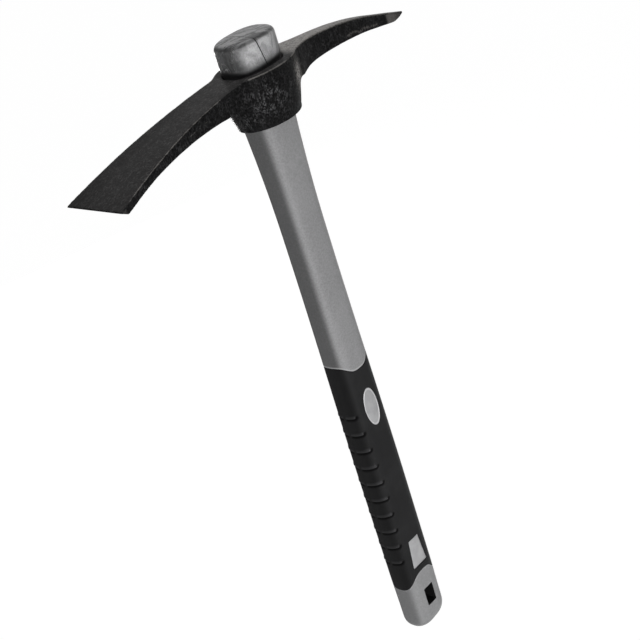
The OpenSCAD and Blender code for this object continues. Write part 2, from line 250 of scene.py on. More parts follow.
def loft(rings, low_pole=None, high_pole=None, loop=False):
    """Joins rings of equal length into one skin, closed by poles or back onto its first ring."""
    points = np.concatenate(rings).tolist()
    columns, rows = len(rings[0]), len(rings)
    faces = []
    for r in range(rows if loop else rows - 1):
        lower = np.arange(columns) + r * columns
        upper = np.arange(columns) + ((r + 1) % rows) * columns
        faces.append(np.stack([lower, np.roll(lower, -1), np.roll(upper, -1), upper], 1))
    faces = np.concatenate(faces).tolist()
    for pole, row in ((low_pole, 0), (high_pole, rows - 1)):
        if pole is None:
            continue
        tip = len(points)
        points.append(list(pole))
        a = np.arange(columns) + row * columns
        b = np.roll(a, -1)
        fan = np.stack([b, a], 1) if row == 0 else np.stack([a, b], 1)
        faces += [[int(i), int(j), tip] for i, j in fan]
    return points, faces


def shade(mesh, sharp=SHARP_ANGLE):
    """Smooth shading, with crisp edges where faces meet at more than an angle in degrees."""
    mesh.shade_smooth()
    mesh.set_sharp_from_angle(angle=math.radians(sharp))


def add_object(name, data):
    """A new object at the origin, in the scene."""
    added = bpy.data.objects.new(name, data)
    bpy.context.scene.collection.objects.link(added)
    return added


def make_piece(name, points, faces, material, sharp=SHARP_ANGLE):
    """A mesh object at the origin with smooth shading and crisp edges."""
    mesh = bpy.data.meshes.new(name)
    mesh.from_pydata([tuple(p) for p in points], [], [tuple(f) for f in faces])
    mesh.validate()
    shade(mesh, sharp)
    mesh.materials.append(material)
    return add_object(name, mesh)


def paint(piece, name, values, domain="POINT"):
    """Stores a mask on a piece for its finish."""
    layer = piece.data.attributes.new(name, "FLOAT", domain)
    layer.data.foreach_set("value", np.asarray(values, np.float32).ravel())


def mark_rings(piece, name, rows, columns=COLUMNS):
    """Sets a mask to 1 on some rings of a lofted piece."""
    mask = np.zeros(len(piece.data.vertices))
    for row in rows:
        mask[row * columns:(row + 1) * columns] = 1.0
    paint(piece, name, mask)


def seat_piece(piece, body, slot, *nodes):
    """Ties a finished piece to its body and hides the solids it stands for; the slot naming its finish is
    not used.
    """
    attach(piece, body)
    if nodes:
        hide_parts(*nodes)


def apply_modifiers(piece):
    """Replaces a piece's mesh by its evaluated one and drops its modifiers."""
    bpy.context.view_layer.update()
    seen = piece.evaluated_get(bpy.context.evaluated_depsgraph_get())
    mesh = bpy.data.meshes.new_from_object(seen)
    if not mesh.polygons:
        raise RuntimeError(piece.name + " came out empty")
    piece.modifiers.clear()
    piece.data = mesh


def cut_through(piece, outline, depth):
    """Cuts an outline of the XZ plane right through a piece along Y."""
    n = len(outline)
    points = [(x, y, z) for y in (-depth, depth) for x, z in outline]
    faces = [list(range(n)), list(range(2 * n - 1, n - 1, -1))]
    faces += [[(i + 1) % n, i, n + i, n + (i + 1) % n] for i in range(n)]
    mesh = bpy.data.meshes.new("cutter")
    mesh.from_pydata(points, [], faces)
    cutter = add_object("cutter", mesh)
    cut = piece.modifiers.new("cut", "BOOLEAN")
    cut.operation = "DIFFERENCE"
    cut.solver = "EXACT"
    cut.object = cutter
    apply_modifiers(piece)
    bpy.data.objects.remove(cutter)
    shade(piece.data)


def rounded_outline(corners, radius, steps=6):
    """A polygon's outline with each corner rounded."""
    out = []
    n = len(corners)
    for i in range(n):
        p, q, r = (np.array(corners[(i + k) % n], float) for k in (-1, 0, 1))
        a = (p - q) / np.linalg.norm(p - q)
        b = (r - q) / np.linalg.norm(r - q)
        half = math.acos(float(np.clip(a @ b, -1, 1))) / 2
        reach = radius / math.tan(half)
        centre = q + (a + b) / np.linalg.norm(a + b) * radius / math.sin(half)
        start, end = q + a * reach - centre, q + b * reach - centre
        first = math.atan2(start[1], start[0])
        turn = (math.atan2(end[1], end[0]) - first + math.pi) % (2 * math.pi) - math.pi
        for s in range(steps + 1):
            t = first + turn * s / steps
            out.append((centre[0] + radius * math.cos(t), centre[1] + radius * math.sin(t)))
    return out


# Node helpers

NOISE_LOW = 0.3
NOISE_HIGH = 0.7


class Nodes:
    """Short calls to build a shader or geometry node tree."""

    def __init__(self, tree):
        self.tree = tree

    def add(self, kind, values=None, **settings):
        """A new node with its settings, and its inputs set or linked."""
        node = self.tree.nodes.new(kind)
        for key, value in settings.items():
            setattr(node, key, value)
        for key, value in (values or {}).items():
            self.feed(node.inputs[key], value)
        return node

    def feed(self, socket, value):
        """Links a socket, or sets it where the value is a constant."""
        if isinstance(value, bpy.types.NodeSocket):
            self.tree.links.new(value, socket)
        else:
            socket.default_value = value

    def math(self, operation, *values, clamp=False):
        """The result of a math node."""
        values = dict(enumerate(values))
        return self.add("ShaderNodeMath", values, operation=operation, use_clamp=clamp).outputs[0]

    plus = partialmethod(math, "ADD")
    minus = partialmethod(math, "SUBTRACT")
    times = partialmethod(math, "MULTIPLY")
    ratio = partialmethod(math, "DIVIDE")
    most = partialmethod(math, "MAXIMUM")
    size = partialmethod(math, "ABSOLUTE")

    def ramp(self, value, low, high, to_low=0.0, to_high=1.0, smooth=True):
        """Maps a range to another and holds the ends."""
        node = self.add("ShaderNodeMapRange", {0: value, 1: low, 2: high, 3: to_low, 4: to_high})
        node.interpolation_type = "SMOOTHSTEP" if smooth else "LINEAR"
        return node.outputs[0]

    def spread(self, noise, low, high):
        """Maps the range that most of a noise lies in evenly to another."""
        return self.ramp(noise, NOISE_LOW, NOISE_HIGH, low, high, smooth=False)

    def blend(self, factor, a, b, mode="MIX"):
        """Mixes two colours."""
        node = self.add("ShaderNodeMix", data_type="RGBA", blend_type=mode)
        self.feed(node.inputs[0], factor)
        for socket, value in ((6, a), (7, b)):
            linked = isinstance(value, bpy.types.NodeSocket)
            self.feed(node.inputs[socket], value if linked else (*value, 1.0))
        return node.outputs[2]

    def tone(self, mask, base, factor):
        """A colour multiplied by a value where a mask says so."""
        factor = factor if isinstance(factor, bpy.types.NodeSocket) else (factor,) * 3
        return self.blend(mask, base, factor, "MULTIPLY")

    def noise(self, place, scale, detail=2.0, rough=0.5, stretch=None, distortion=0.0):
        """A noise from 0 to 1, stretched along the axes where that is given."""
        if stretch:
            place = self.add("ShaderNodeMapping", {"Vector": place, "Scale": stretch}).outputs[0]
        values = {"Vector": place, "Scale": scale, "Detail": detail, "Roughness": rough}
        return self.add("ShaderNodeTexNoise", {**values, "Distortion": distortion}).outputs["Fac"]

    def place(self):
        """The point on the piece."""
        return self.add("ShaderNodeTexCoord").outputs["Object"]

    def split(self, vector):
        """The X, Y and Z of a vector."""
        return self.add("ShaderNodeSeparateXYZ", {0: vector}).outputs

    def face(self):
        """The X, Y and Z of the surface's normal."""
        return self.split(self.add("ShaderNodeNewGeometry").outputs["Normal"])

    def mask(self, name):
        """A mask that is stored on the mesh."""
        return self.add("ShaderNodeAttribute", attribute_name=name).outputs["Fac"]


# Shared shader groups

def shader_group(name, inputs, outputs, kind="NodeSocketFloat"):
    """A new shader node group with named float inputs and named outputs of one kind."""
    tree = bpy.data.node_groups.new(name, "ShaderNodeTree")
    for label, default in inputs.items():
        socket = tree.interface.new_socket(label, in_out="INPUT", socket_type="NodeSocketFloat")
        socket.default_value = default
    for label in outputs:
        tree.interface.new_socket(label, in_out="OUTPUT", socket_type=kind)
    n = Nodes(tree)
    return tree, n, n.add("NodeGroupInput").outputs, n.add("NodeGroupOutput").inputs


def grain_group():
    """Two sizes of surface grain and a slow mottle."""
    scales = {"Coarse scale": 400.0, "Fine scale": 1800.0, "Fine share": 0.5, "Mottle scale": 40.0}
    tree, n, take, give = shader_group("Surface grain", scales, ["Height", "Mottle"])
    at = n.place()
    coarse = n.times(n.noise(at, take["Coarse scale"], 3.0, 0.55), n.minus(1.0, take["Fine share"]))
    fine = n.times(n.noise(at, take["Fine scale"], 2.0, 0.6), take["Fine share"])
    n.feed(give["Height"], n.plus(coarse, fine))
    n.feed(give["Mottle"], n.noise(at, take["Mottle scale"], 4.0, 0.6))
    return tree


def wear_group():
    """Breaks an even mask into patchy wear."""
    inputs = {"Mask": 0.0, "Scale": 160.0, "Amount": 0.5}
    tree, n, take, give = shader_group("Patchy wear", inputs, ["Wear"])
    patches = n.noise(n.place(), take["Scale"], 5.0, 0.65)
    reach = n.plus(take["Mask"], n.minus(patches, 0.5))
    level = n.minus(1.0, take["Amount"])
    n.feed(give["Wear"], n.times(n.ramp(reach, level, n.plus(level, 0.25)), take["Mask"]))
    return tree


def scuff_group():
    """Fine scratches in three directions."""
    tree, n, take, give = shader_group("Scuffs", {"Scale": 60.0, "Amount": 0.5}, ["Scuff"])
    at = n.place()
    marks = 0.0
    for turn in (0.35, -0.9, 1.3):
        way = {"Vector": at, "Rotation": (0.3, turn, turn), "Scale": (14.0, 1.0, 1.0)}
        lines = n.noise(n.add("ShaderNodeMapping", way).outputs[0], take["Scale"], distortion=0.3)
        marks = n.most(marks, n.ramp(n.size(n.minus(lines, 0.5)), 0.0, 0.018, 1.0, 0.0))
    patch = n.ramp(n.noise(at, n.times(take["Scale"], 1.3), 3.0, 0.6), 0.45, 0.7)
    n.feed(give["Scuff"], n.times(n.times(marks, patch), take["Amount"]))
    return tree


def facet_group():
    """Turns an oval moulding's normals towards its four sides, so its corners read crisp."""
    inputs = {"Power": 1.8, "Balance": 0.55}
    tree, n, take, give = shader_group("Moulded facets", inputs, ["Normal"], "NodeSocketVector")
    face = n.face()
    turned = {"Z": face["Z"]}
    for axis in ("X", "Y"):
        pull = n.math("POWER", n.size(face[axis]), take["Power"])
        turned[axis] = n.times(pull, n.math("SIGN", face[axis]))
    turned["Y"] = n.times(turned["Y"], take["Balance"])
    joined = n.add("ShaderNodeCombineXYZ", turned).outputs[0]
    n.feed(give["Normal"], n.add("ShaderNodeVectorMath", {0: joined}, operation="NORMALIZE").outputs[0])
    return tree


def narrow_shade_group():
    """Mask of the handle's narrow front and back, where painted shade darkens them against its broad faces.
    """
    tree, n, take, give = shader_group("Narrow side shade", {"From": 0.6, "To": 0.92}, ["Mask"])
    n.feed(give["Mask"], n.ramp(n.size(n.face()["X"]), take["From"], take["To"]))
    return tree


SHADER_GROUPS = {
    "Surface grain": grain_group, "Patchy wear": wear_group, "Scuffs": scuff_group,
    "Moulded facets": facet_group, "Narrow side shade": narrow_shade_group,
}


def use_group(n, name, values):
    """Places a shared group in a material, building it the first time."""
    tree = bpy.data.node_groups.get(name) or SHADER_GROUPS[name]()
    return n.add("ShaderNodeGroup", values, node_tree=tree).outputs


def grain_of(n, coarse, fine, fine_share, mottle):
    """The surface grain at a material's own scales."""
    return use_group(n, "Surface grain", {
        "Coarse scale": coarse, "Fine scale": fine, "Fine share": fine_share, "Mottle scale": mottle})


def wear_of(n, name, scale, amount):
    """Patchy wear where a stored mask lies."""
    return use_group(n, "Patchy wear", {"Mask": n.mask(name), "Scale": scale, "Amount": amount})["Wear"]


def bump(n, height, strength, distance, facets=None):
    """A bumped normal, over crisp moulded facets where their power is given."""
    values = {"Height": height, "Strength": strength, "Distance": distance}
    if facets is not None:
        values["Normal"] = use_group(n, "Moulded facets", {"Power": facets})["Normal"]
    return n.add("ShaderNodeBump", values).outputs[0]


# Finishes

def tint(base, factor):
    """A colour made darker or lighter."""
    return tuple(min(1.0, v * factor) for v in base)


def clear_nodes(holder):
    """The empty node tree of a material or a world."""
    holder.use_nodes = True
    holder.node_tree.nodes.clear()
    return Nodes(holder.node_tree)


def get_finish(maker, scene):
    """The material with its maker's name, made the first time from the inputs that the maker gives."""
    material = bpy.data.materials.get(maker.__name__)
    if material is None:
        material = bpy.data.materials.new(maker.__name__)
        n = clear_nodes(material)
        shader = n.add("ShaderNodeBsdfPrincipled", maker(n, scene))
        n.add("ShaderNodeOutputMaterial", {"Surface": shader.outputs[0]})
    return material


def forged_skin(n, scene):
    """Black coated forging with bare worn edges, ground facets and a rough skin, with painted light on its
    top faces, painted shade towards the adze's far side and a painted highlight on the boss.
    """
    c = scene.mattock_colours
    grain = grain_of(n, coarse=700.0, fine=1700.0, fine_share=0.45, mottle=60.0)
    flow = n.noise(n.place(), 1050.0, 3.0, 0.6, stretch=(1.0, 1.0, 0.75))
    clouds = n.noise(n.place(), 330.0, 3.0, 0.6, stretch=(1.0, 1.0, 0.55))
    flecked = n.times(n.ramp(n.mask("flecked"), 0.0, 1.0, 0.28, 1.0), n.ramp(clouds, 0.42, 0.6))
    # Painted light: faces that point up get a lighter, slightly warmer coat
    lit_from_above = n.ramp(n.face()["Z"], 0.6, 0.95)
    coat = n.blend(n.ramp(grain["Height"], 0.36, 0.56), tint(c.coat, 0.4), tint(c.coat, 1.9))
    layers = (
        (n.ramp(grain["Height"], 0.54, 0.7), 6.0),
        (n.times(n.ramp(grain["Mottle"], 0.4, 0.75), 0.5), 2.6),
        (n.times(n.ramp(flow, 0.42, 0.64), flecked), 19.0),
        (n.times(n.ramp(flow, 0.34, 0.46, 1.0, 0.0), 0.8), 0.2),
        (n.times(lit_from_above, 0.3), 6.0),
    )
    for mask, factor in layers:
        coat = n.blend(mask, coat, tint(c.coat, factor))
    # Painted light on faces that point up
    coat = n.blend(lit_from_above, coat, (2.55, 2.48, 2.42), "MULTIPLY")
    # Painted shade: the adze's coat is darker towards its far side
    at = n.split(n.place())
    adze = n.ramp(at["X"], -0.03, -0.02, 1.0, 0.0)
    coat = n.tone(adze, coat, n.ramp(at["Y"], 0.0, 0.02, 1.0, 0.55))
    # Bare steel shows on worn edges, ground facets, the rubbed top of the pick and in streaks along a
    # scratch; streaks of it also make a painted highlight on the boss by the pick's root
    steel = n.blend(grain["Mottle"], tint(c.bare_steel, 0.55), tint(c.bare_steel, 1.0))
    edge = n.times(wear_of(n, "edge_wear", scale=340.0, amount=0.58), 0.55)
    ground = n.times(wear_of(n, "ground", scale=300.0, amount=0.85), 0.3)
    rubbed = n.times(n.mask("rubbed"), n.ramp(grain["Height"], 0.3, 0.6, 0.15, 0.85))
    worn = n.most(rubbed, n.most(edge, ground))
    # Scratch on the pick and painted highlight on the boss
    scratch_and_highlight_mask = n.times(n.mask("scratch_and_highlight"), n.ramp(flow, 0.38, 0.56))
    bare = n.math("MAXIMUM", worn, scratch_and_highlight_mask, clamp=True)
    lumps = n.noise(n.place(), 150.0, 2.0, 0.5)
    height = n.plus(n.times(grain["Height"], 0.7), n.times(lumps, 0.9))
    return {
        "Base Color": n.blend(bare, coat, steel),
        "Metallic": n.times(worn, 0.8),
        "Roughness": n.plus(n.spread(grain["Mottle"], 0.42, 0.58), n.times(bare, -0.08)),
        "Specular IOR Level": 0.025,
        "Normal": bump(n, height, 0.5, 0.00012),
    }


def handle_plastic(n, scene):
    """Grey moulded plastic with a fine grain, a parting seam over the knob and scuffs on its top, painted
    light and shade on the knob, painted shade on its narrow sides and a painted highlight on its lip.
    """
    grey, seat_top = scene.mattock_colours.handle_grey, scene.mattock_handle.seat_top
    grain = grain_of(n, coarse=900.0, fine=3200.0, fine_share=0.5, mottle=26.0)
    at = n.split(n.place())
    over = n.minus(at["Z"], seat_top)
    knob = n.ramp(over, 0.0017, 0.0042)
    scuff = n.times(use_group(n, "Scuffs", {"Scale": 70.0, "Amount": 0.9})["Scuff"], knob)
    # The seam leans across the knob and wanders a little
    wander = n.times(n.minus(n.noise(n.place(), 120.0), 0.5), 0.0012)
    lean = n.ramp(over, 0.0013, 0.0155, 0.0012, 0.0040, smooth=False)
    off = n.size(n.plus(n.plus(at["X"], lean), wander))
    seam = n.times(n.ramp(off, 0.0002, 0.00045, 1.0, 0.0), n.ramp(over, 0.0003, 0.0013))
    body = n.blend(n.ramp(grain["Mottle"], 0.35, 0.7), tint(grey, 0.91), tint(grey, 1.03))
    body = n.blend(n.times(n.ramp(grain["Height"], 0.4, 0.62), 0.6), body, tint(grey, 1.38))
    # The knob is smeared with use; painted shade darkens its top and its front, and painted light brightens
    # its sides
    face = n.face()
    up = face["Z"]
    used = n.times(knob, n.ramp(up, 0.3, 0.9, 0.35, 1.0))
    turned = n.add("ShaderNodeMapping", {"Vector": n.place(), "Rotation": (0.0, 0.0, 0.5)}).outputs[0]
    smears = n.noise(turned, 130.0, 4.0, 0.6, stretch=(0.8, 2.4, 1.0), distortion=0.7)
    body = n.tone(used, body, n.ramp(smears, 0.38, 0.62, 0.45, 2.1))
    # Painted light on the knob's sides and painted shade on its top
    body = n.tone(knob, body, n.ramp(up, 0.1, 0.7, 1.4, 0.56))
    # Painted shade on the knob's front
    body = n.tone(knob, body, n.ramp(face["X"], -0.95, -0.4, 0.2, 1.0))
    # Painted shade on the handle's narrow front and back
    narrow = n.times(use_group(n, "Narrow side shade", {})["Mask"], n.minus(1.0, knob))
    body = n.tone(narrow, body, 0.44)
    # A painted highlight on the lip, pale scuffs, painted shade on the knob's top rim and at its foot above
    # the eye, and the seam
    rim = n.times(n.ramp(up, 0.25, 0.5), n.ramp(up, 0.7, 0.95, 1.0, 0.0))
    foot = n.times(n.ramp(over, 0.0, 0.0072, 1.0, 0.0), n.ramp(over, -0.0018, 0.0002))
    knob_shade = n.most(n.times(n.times(rim, knob), 0.5), n.times(foot, 0.85))
    for mask, factor in ((n.times(n.mask("lip"), 0.6), 1.9), (scuff, 2.0), (knob_shade, 0.1), (seam, 0.08)):
        body = n.blend(mask, body, tint(grey, factor))
    height = n.minus(n.times(grain["Height"], 0.25), n.times(seam, 1.2))
    height = n.minus(height, n.times(scuff, 0.5))
    facets = n.ramp(over, -0.0003, 0.0037, 1.7, 1.0)
    return {
        "Base Color": body,
        "Roughness": n.spread(grain["Mottle"], 0.36, 0.46),
        "Specular IOR Level": 0.12,
        "Normal": bump(n, height, 0.35, 0.0004, facets),
    }


def cap_plastic(n, scene):
    """Lighter grey plastic with a speckled, sand-like grain, a painted highlight on its lip, and painted
    shade on its narrow sides and in its hanging hole.
    """
    grey = scene.mattock_colours.cap_grey
    grain = grain_of(n, coarse=700.0, fine=2200.0, fine_share=0.55, mottle=60.0)
    body = n.blend(n.ramp(grain["Height"], 0.38, 0.64), tint(grey, 0.9), tint(grey, 1.1))
    body = n.blend(n.ramp(grain["Mottle"], 0.5, 0.8), body, tint(grey, 1.0))
    # Painted highlight along the cap's lip
    body = n.blend(n.times(n.mask("lip"), 0.5), body, tint(grey, 1.6))
    # Painted shade on the cap's narrow front and back
    body = n.tone(use_group(n, "Narrow side shade", {})["Mask"], body, 0.72)
    return {
        # Painted shade on the walls of the hanging hole
        "Base Color": n.blend(n.mask("painted_hole_shade"), body, tint(grey, 0.035)),
        "Roughness": n.spread(grain["Mottle"], 0.38, 0.48),
        "Specular IOR Level": 0.12,
        "Normal": bump(n, grain["Height"], 0.3, 0.00008, facets=1.9),
    }


def window_plastic(n, scene):
    """Pale satin pads under the grip's windows."""
    grey = scene.mattock_colours.window_grey
    grain = grain_of(n, coarse=800.0, fine=2600.0, fine_share=0.5, mottle=90.0)
    return {
        "Base Color": n.blend(n.ramp(grain["Mottle"], 0.3, 0.7), tint(grey, 0.88), tint(grey, 1.1)),
        "Roughness": n.spread(grain["Height"], 0.34, 0.46),
        "Normal": bump(n, grain["Height"], 0.2, 0.0002),
    }


def grip_rubber(n, scene):
    """Matte black rubber with a fine moulded grain, painted highlights on its rib crests, and painted shade
    in the rib grooves and on its narrow sides.
    """
    black = scene.mattock_colours.rubber
    grain = grain_of(n, coarse=600.0, fine=2600.0, fine_share=0.6, mottle=30.0)
    dust = n.times(n.ramp(grain["Mottle"], 0.45, 0.8), 0.5)
    body = n.blend(dust, tint(black, 1.0), tint(black, 1.8))
    # Painted highlight on the rib crests and painted shade in the grooves
    body = n.blend(n.times(n.mask("rib_crest_highlight"), 0.7), body, tint(black, 3.5))
    body = n.blend(n.times(n.mask("rib_groove"), 0.95), body, tint(black, 0.15))
    # Painted shade on the grip's narrow front and back
    narrow = use_group(n, "Narrow side shade", {"From": 0.4, "To": 0.85})["Mask"]
    return {
        "Base Color": n.tone(narrow, body, 0.6),
        "Roughness": n.spread(grain["Height"], 0.46, 0.6),
        "Specular IOR Level": 0.035,
        "Normal": bump(n, grain["Height"], 0.3, 0.00008, facets=1.6),
    }


def badge_silver(n, scene):
    """Bare satin silver with a faint brushed grain."""
    silver = scene.mattock_colours.badge
    brushed = n.noise(n.place(), 900.0, 2.0, 0.5, stretch=(1.0, 1.0, 0.06))
    grain = grain_of(n, coarse=500.0, fine=2400.0, fine_share=0.4, mottle=120.0)
    body = n.blend(n.ramp(grain["Mottle"], 0.3, 0.7), tint(silver, 0.88), tint(silver, 1.1))
    return {
        "Base Color": n.blend(n.mask("rim"), body, tint(silver, 1.4)),
        "Metallic": 0.55,
        "Roughness": n.spread(brushed, 0.42, 0.54),
        "Normal": bump(n, n.plus(brushed, n.times(grain["Height"], 0.3)), 0.12, 0.0002),
    }


def core_fibre(n, scene):
    """Pultruded rod with strands along its length."""
    straw = scene.mattock_colours.fibreglass
    strands = n.noise(n.place(), 900.0, 3.0, 0.6, stretch=(1.0, 1.0, 0.02))
    return {
        "Base Color": n.blend(strands, tint(straw, 0.7), tint(straw, 1.15)),
        "Roughness": n.spread(strands, 0.35, 0.55),
        "Normal": bump(n, strands, 0.2, 0.0002),
    }


# Forged head: powers of its curves, softness of its edges, and slants that bring fields near to distances

BOW_POWER = 2.8
ROOT_POWER = 1.6
POINT_POWER = 1.5
COLLAR_POWER = 1.7
WAIST_SOFT = 0.003
ROOT_SOFT = 0.0022
EYE_SOFT = 0.0004
COLLAR_SOFT = 0.4
PICK_SLANT = 0.9
BEVEL_SLANT = 0.88
BOSS_SLANT = 0.9
EYE_SLANT = 0.85


def pick_bow(t, s):
    """Bow of the pick's top line, curved first and then straight to the tip."""
    bend = 1 - s.pick_straight / s.pick_reach
    slope = BOW_POWER * bend ** (BOW_POWER - 1)
    return np.minimum(t, bend) ** BOW_POWER + slope * np.maximum(t - bend, 0)


def head_top(x, s, h):
    """Top line of the head."""
    t = np.abs(x) / np.where(x < 0, s.reach, s.pick_reach)
    return h.seat_top - np.where(x < 0, s.adze_drop * t ** 2, s.pick_drop * pick_bow(t, s) / pick_bow(1, s))


def adze_half(d, s):
    """Half width of the adze at a distance from the axis."""
    waist, edge = s.waist_width / 2, s.edge_width / 2
    wider = mix(waist, edge, (d - s.waist_reach) / (s.reach - s.waist_reach))
    return soft_max(waist, wider, WAIST_SOFT) - soft_max(waist, edge, WAIST_SOFT) + edge


def adze_thick(d, s):
    """Thickness of the adze at a distance from the axis."""
    root = s.boss_width / 2
    thicker = np.clip(1 - (d - root) / (s.blade_reach - root), 0, 1) ** ROOT_POWER
    return mix(s.blade_thick, s.root_thick, thicker)


def pick_parts(x, s):
    """Half width and thickness of the pick."""
    root, start = s.boss_width / 2, s.pick_reach - s.point
    taper = np.clip((x - root) / (start - root), 0, 1)
    point = np.clip((x - start) / s.point, 0, 1) ** POINT_POWER
    fillet = np.clip(1 - (x - root) / s.fillet, 0, 1) ** 2
    width = mix(mix(s.pick_root_width, s.pick_end_width, taper), s.tip_width, point)
    thick = mix(mix(s.pick_root_thick, s.pick_end_thick, taper), s.tip_thick, point)
    return width / 2 + s.fillet_width * fillet, thick + s.fillet_thick * fillet


def head_parts(p, s, h):
    """Signed distances of a point to the faces that bound the head, negative inside."""
    x, y, z = p
    d = np.abs(x)
    root = s.boss_width / 2
    reach = np.where(x < 0, s.reach, s.pick_reach)
    pick_half, pick_thick = pick_parts(np.maximum(x, 0), s)
    across = np.clip((x + root) / (2 * root), 0, 1)
    half = mix(adze_half(np.maximum(-x, root), s), pick_half, across)
    thick = mix(adze_thick(np.maximum(-x, root), s), pick_thick, across)
    top = head_top(x, s, h)
    under = top - thick - s.belly * np.sin(math.pi * np.clip((d - root) / (reach - root), 0, 1))
    bevel = np.clip((d - (s.reach - s.bevel)) / s.bevel, 0, 1) * (x < 0)
    slope = 2 * s.adze_drop / s.reach
    slant = np.where(x < 0, 1 / math.sqrt(1 + slope ** 2), PICK_SLANT)
    above = (z - top) * mix(1, slant, np.clip(d / s.reach, 0, 1))
    below = (mix(under, top, bevel) - z) * mix(1, BEVEL_SLANT, bevel)
    side = np.abs(y) - half
    ends = d - reach
    t = np.clip((z - h.seat_foot - s.collar_round) / (h.seat_top - h.seat_foot - s.collar_round), 0, 1)
    wall = mix(root, s.collar_width / 2, (1 - t) ** COLLAR_POWER)
    boss = (np.sqrt((x - s.boss_shift) ** 2 + (y / s.boss_depth) ** 2) - wall) * BOSS_SLANT
    foot = h.seat_foot - z
    seat = mix(h.seat_foot_width, h.seat_top_width, (z - h.seat_foot) / (h.seat_top - h.seat_foot)) / 2
    mouth = np.maximum(z - (h.seat_top - s.mouth_depth), 0) * s.mouth_width / s.mouth_depth
    oval = (d ** h.power + np.abs(y / h.depth) ** h.power) ** (1 / h.power) / h.fit
    bore = (seat + s.eye_gap + mouth - oval) * EYE_SLANT
    return above, below, side, ends, boss, foot, bore


LUMPS = 14
WAVES = np.random.default_rng(7).normal(size=(LUMPS, 3))
PHASES = np.random.default_rng(11).uniform(0, 2 * math.pi, LUMPS)
LUMP_PITCH = 0.006
LUMP_STEP = 0.0011
LUMP_CALM = 8.0
LUMP_HEIGHT = 0.00007


def forge_lumps(p):
    """Slow uneven swells of a hammered skin, mostly from -1 to 1."""
    total = np.zeros_like(p[0])
    for i, (wave, phase) in enumerate(zip(WAVES, PHASES)):
        k = wave / np.linalg.norm(wave) * 2 * math.pi / (LUMP_PITCH + LUMP_STEP * i)
        total += np.sin(k[0] * p[0] + k[1] * p[1] + k[2] * p[2] + phase)
    return total / LUMP_CALM


def rise(value, width, least=0.0):
    """Grows to 1 at a set width, from 0 or a least value."""
    return np.clip(value / width, least, 1)


def head_field(p, s, h):
    """Signed distance to the whole head, with forged edges and fillets softened."""
    above, below, side, ends, boss, foot, bore = head_parts(p, s, h)
    # The edges get crisper and the skin smoother towards the ends
    soft = s.edge_round * rise(-ends, 0.02, least=0.15)
    arms = soft_max(soft_max(below, side, soft), ends, s.edge_round * 0.1)
    collar = soft_max(boss, foot, s.collar_round * COLLAR_SOFT)
    whole = soft_max(soft_min(arms, collar, ROOT_SOFT), above, soft)
    whole = whole + LUMP_HEIGHT * forge_lumps(p) * rise(-ends, 0.012)
    return soft_max(whole, bore, EYE_SOFT)


def surface_net(field, low, high, cell):
    """A quad mesh on the zero surface of a field, with one point in each cell that the surface crosses."""
    axes = [np.arange(a, b + cell, cell) for a, b in zip(low, high)]
    value = field(np.meshgrid(*axes, indexing="ij"))
    inside = value < 0
    shape = tuple(n - 1 for n in value.shape)
    total = np.zeros(shape + (3,))
    count = np.zeros(shape)

    def at_corner(offset):
        """The field at one corner of every cell."""
        return value[tuple(slice(o, o + size) for o, size in zip(offset, shape))]

    for axis in range(3):
        others = [i for i in range(3) if i != axis]
        for a, b in ((0, 0), (0, 1), (1, 0), (1, 1)):
            start = [0, 0, 0]
            start[others[0]], start[others[1]] = a, b
            end = list(start)
            end[axis] = 1
            v0, v1 = at_corner(start), at_corner(end)
            cross = (v0 < 0) != (v1 < 0)
            t = np.where(cross, v0 / np.where(cross, v0 - v1, 1), 0)
            for i in range(3):
                total[..., i] += np.where(cross, start[i] + (t if i == axis else 0), 0)
            count += cross
    used = count > 0
    index = np.full(shape, -1)
    index[used] = np.arange(used.sum())
    points = (np.argwhere(used) + total[used] / count[used][:, None]) * cell + np.array(low)
    faces = []
    for axis in range(3):
        u, v = (axis + 1) % 3, (axis + 2) % 3
        lower = [slice(None)] * 3
        upper = [slice(None)] * 3
        lower[axis], upper[axis] = slice(0, -1), slice(1, None)
        first, second = inside[tuple(lower)], inside[tuple(upper)]
        for flip, cross in ((False, first & ~second), (True, ~first & second)):
            at = np.argwhere(cross)
            at = at[(at[:, u] > 0) & (at[:, v] > 0) & (at[:, u] < shape[u]) & (at[:, v] < shape[v])]
            quad = []
            for du, dv in ((1, 1), (0, 1), (0, 0), (1, 0)):
                spot = at.copy()
                spot[:, u] -= du
                spot[:, v] -= dv
                quad.append(index[tuple(spot.T)])
            quad = np.stack(quad, 1)
            faces.append(quad[:, ::-1] if flip else quad)
    return points, np.concatenate(faces)


def slope_of(field, points, step=2e-5):
    """Gradient of a field at points."""
    out = np.zeros_like(points)
    for i in range(3):
        shift = np.zeros(3)
        shift[i] = step
        out[:, i] = (field((points + shift).T) - field((points - shift).T)) / (2 * step)
    return out


# Marks on the head: places along X and drops below the top of the seat

CREASE_X = (-0.075, -0.066, -0.053, -0.045)
CREASE_DROP = (0.0107, 0.0095, 0.0083, 0.0066)
CREASE_ENDS = (-0.076, -0.042)
SCRATCH_X = (0.0715, 0.0758, 0.081, 0.0857, 0.0914, 0.0974)
SCRATCH_DROP = (0.0131, 0.0127, 0.0151, 0.0145, 0.0162, 0.0173)
SCRATCH_ENDS = (0.070, 0.098)


def close_to(distance, width):
    """1 on a line or a face, falling to 0 at a set width from it."""
    return np.clip(1 - np.abs(distance) / width, 0, 1)


def on_edge(a, b, width):
    """1 on the edge where two faces meet, falling to 0 at a set width from it."""
    return close_to(np.maximum(np.abs(a), np.abs(b)), width)


def soft_spot(x, drop, middle, size):
    """A spot on the head's side that fades out from its middle."""
    return np.exp(-(((x - middle[0]) / size[0]) ** 2 + ((drop - middle[1]) / size[1]) ** 2))


